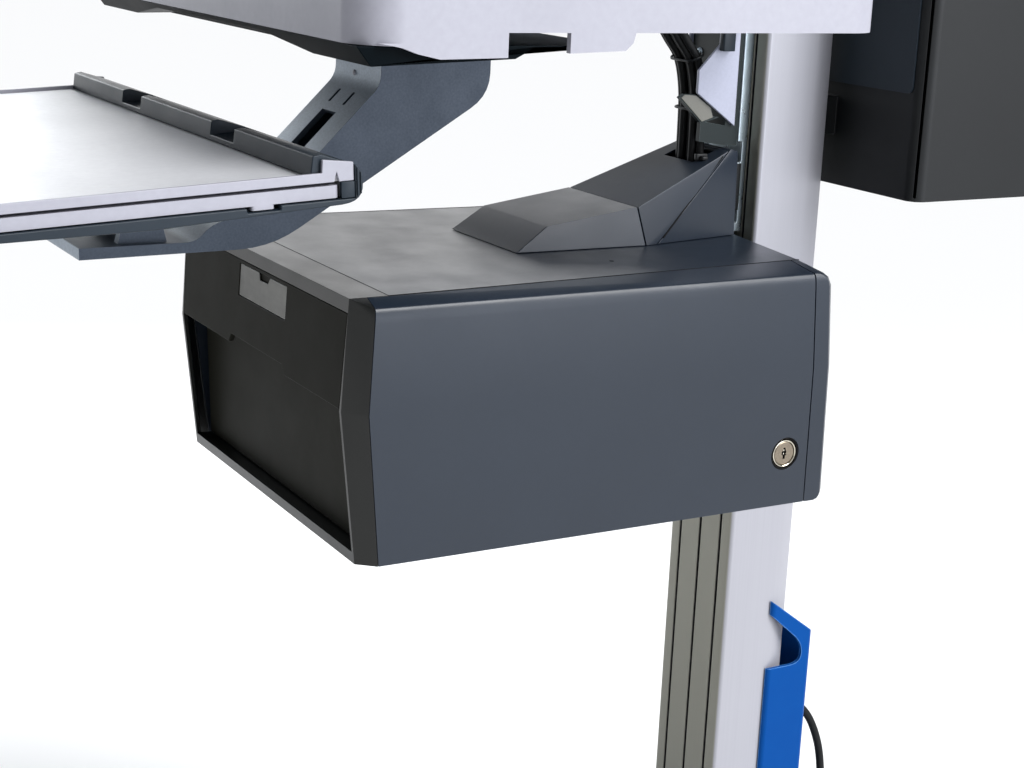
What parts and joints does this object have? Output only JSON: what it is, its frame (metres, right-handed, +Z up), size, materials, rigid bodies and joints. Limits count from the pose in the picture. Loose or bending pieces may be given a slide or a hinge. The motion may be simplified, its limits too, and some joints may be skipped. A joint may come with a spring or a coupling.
{
  "type": "medication cart",
  "caption": "Height-adjustable mobile medication cart: wheeled base, aluminium column, worksurface, keyboard tray and lockable supply drawer.",
  "frame": {"origin": "on the floor, at the middle of the cart's plan box", "axes": "+Z up; -Y towards the user, the way the drawer opens; +X to the user's right, the side with the lock"},
  "size_m": [0.5, 0.94, 1.254],
  "materials": {
    "column_aluminium": "satin anodised",
    "slate_plastic": "fine textured",
    "housing_plastic": "fine spark texture, satin",
    "front_plastic": "fine spark texture, satin",
    "black_plastic": "moulded, satin",
    "blue_plastic": "glossy moulded",
    "light_plastic": "satin moulded",
    "tray_plastic": "satin moulded",
    "base_plastic": "satin moulded",
    "frosted_plastic": "frosted translucent",
    "arm_paint": "slate grey powder coat",
    "carriage_paint": "light grey powder coat",
    "bracket_steel": "dark grey powder coat",
    "black_steel": "black powder coat",
    "zinc_steel": "bright zinc plate",
    "spring_rod": "ground and plated",
    "battery_case": "painted case",
    "lock_nickel": "nickel plate, polished rim and satin face",
    "cable_rubber": "matt PVC sheath",
    "palm_rubber": "soft textured pad",
    "caster_tyre": "grey non-marking tread"
  },
  "bodies": {
    "chassis": {"column_extrusion": "column_aluminium", "column_cap": "slate_plastic", "column_foot_clamp": "slate_plastic", "gas_spring_cylinder": "black_steel", "base_cover": "base_plastic", "base_frame": "black_steel", "battery_pack": "battery_case", "rear_compartment_body": "black_plastic", "cord_holder": "blue_plastic", "power_lead": "cable_rubber", "lead_gland": "cable_rubber"},
    "lift": {"gas_spring_rod": "spring_rod", "lift_rail": "zinc_steel", "lift_shoe": "black_steel", "carriage_plate_right": "carriage_paint", "carriage_plate_left": "carriage_paint", "carriage_bracket": "bracket_steel", "cable_bundle": "cable_rubber", "worksurface_top": "light_plastic", "worksurface_pan": "slate_plastic", "worksurface_frame": "zinc_steel", "keyboard_arm": "arm_paint", "front_bezel": "front_plastic", "side_panel_right": "housing_plastic", "side_panel_left": "housing_plastic", "housing_shell": "housing_plastic", "bottom_plate": "black_steel", "bridge_front_cover": "housing_plastic", "bridge_rear_cover": "housing_plastic", "bridge_saddle": "housing_plastic", "drawer_slide_right": "zinc_steel", "drawer_slide_left": "zinc_steel", "lock_barrel": "lock_nickel"},
    "drawer": {"drawer_front": "front_plastic", "drawer_lower_panel": "front_plastic", "label_holder": "frosted_plastic", "drawer_box": "black_plastic", "drawer_runner_right": "zinc_steel", "drawer_runner_left": "zinc_steel"},
    "lock": {"lock_cylinder": "lock_nickel"},
    "keyboard_tray": {"keyboard_tray": "tray_plastic", "tray_rear_rim": "slate_plastic", "tray_end_plate_right": "light_plastic", "tray_end_plate_left": "light_plastic", "tray_under_pan": "slate_plastic", "palm_rest": "palm_rubber", "tray_bracket": "black_steel"},
    "mouse_tray": {"mouse_tray": "light_plastic"},
    "compartment_door": {"rear_compartment_door": "slate_plastic"},
    "caster_front_left": {"caster_hood_front_left": "black_plastic"},
    "wheels_front_left": {"caster_wheels_front_left": "caster_tyre"},
    "brake_front_left": {"brake_pedal_front_left": "black_plastic"},
    "caster_front_right": {"caster_hood_front_right": "black_plastic"},
    "wheels_front_right": {"caster_wheels_front_right": "caster_tyre"},
    "brake_front_right": {"brake_pedal_front_right": "black_plastic"},
    "caster_rear_left": {"caster_hood_rear_left": "black_plastic"},
    "wheels_rear_left": {"caster_wheels_rear_left": "caster_tyre"},
    "caster_rear_right": {"caster_hood_rear_right": "black_plastic"},
    "wheels_rear_right": {"caster_wheels_rear_right": "caster_tyre"}
  },
  "joints": [
    {"name": "lift_slide", "type": "slide", "parent": "chassis", "child": "lift", "axis": [0, 0, 1], "range_m": [-0.19, 0.16]},
    {"name": "drawer_slide", "type": "slide", "parent": "lift", "child": "drawer", "axis": [0, -1, 0], "range_m": [0, 0.28]},
    {"name": "lock_turn", "type": "hinge", "parent": "lift", "child": "lock", "pos_m": [0.16, 0.1948, 0.6307], "axis": [1, 0, 0], "range_deg": [0, 90]},
    {"name": "tray_tilt", "type": "hinge", "parent": "lift", "child": "keyboard_tray", "pos_m": [0, -0.25, 0.814], "axis": [1, 0, 0], "range_deg": [-8, 10]},
    {"name": "mouse_tray_slide", "type": "slide", "parent": "keyboard_tray", "child": "mouse_tray", "axis": [1, 0, 0], "range_m": [0, 0.2]},
    {"name": "compartment_door_hinge", "type": "hinge", "parent": "chassis", "child": "compartment_door", "pos_m": [-0.13, 0.4432, 0.98], "axis": [0, 0, 1], "range_deg": [0, 105]},
    {"name": "swivel_front_left", "type": "hinge", "parent": "chassis", "child": "caster_front_left", "pos_m": [-0.195, 0.005, 0.118], "axis": [0, 0, 1], "continuous": true},
    {"name": "spin_front_left", "type": "hinge", "parent": "caster_front_left", "child": "wheels_front_left", "pos_m": [-0.195, 0.027, 0.05], "axis": [1, 0, 0], "continuous": true},
    {"name": "brake_front_left", "type": "hinge", "parent": "caster_front_left", "child": "brake_front_left", "pos_m": [-0.195, 0.082, 0.079], "axis": [-1, 0, 0], "range_deg": [0, 15]},
    {"name": "swivel_front_right", "type": "hinge", "parent": "chassis", "child": "caster_front_right", "pos_m": [0.195, 0.005, 0.118], "axis": [0, 0, 1], "continuous": true},
    {"name": "spin_front_right", "type": "hinge", "parent": "caster_front_right", "child": "wheels_front_right", "pos_m": [0.195, 0.027, 0.05], "axis": [1, 0, 0], "continuous": true},
    {"name": "brake_front_right", "type": "hinge", "parent": "caster_front_right", "child": "brake_front_right", "pos_m": [0.195, 0.082, 0.079], "axis": [-1, 0, 0], "range_deg": [0, 15]},
    {"name": "swivel_rear_left", "type": "hinge", "parent": "chassis", "child": "caster_rear_left", "pos_m": [-0.195, 0.39, 0.118], "axis": [0, 0, 1], "continuous": true},
    {"name": "spin_rear_left", "type": "hinge", "parent": "caster_rear_left", "child": "wheels_rear_left", "pos_m": [-0.195, 0.412, 0.05], "axis": [1, 0, 0], "continuous": true},
    {"name": "swivel_rear_right", "type": "hinge", "parent": "chassis", "child": "caster_rear_right", "pos_m": [0.195, 0.39, 0.118], "axis": [0, 0, 1], "continuous": true},
    {"name": "spin_rear_right", "type": "hinge", "parent": "caster_rear_right", "child": "wheels_rear_right", "pos_m": [0.195, 0.412, 0.05], "axis": [1, 0, 0], "continuous": true}
  ]
}
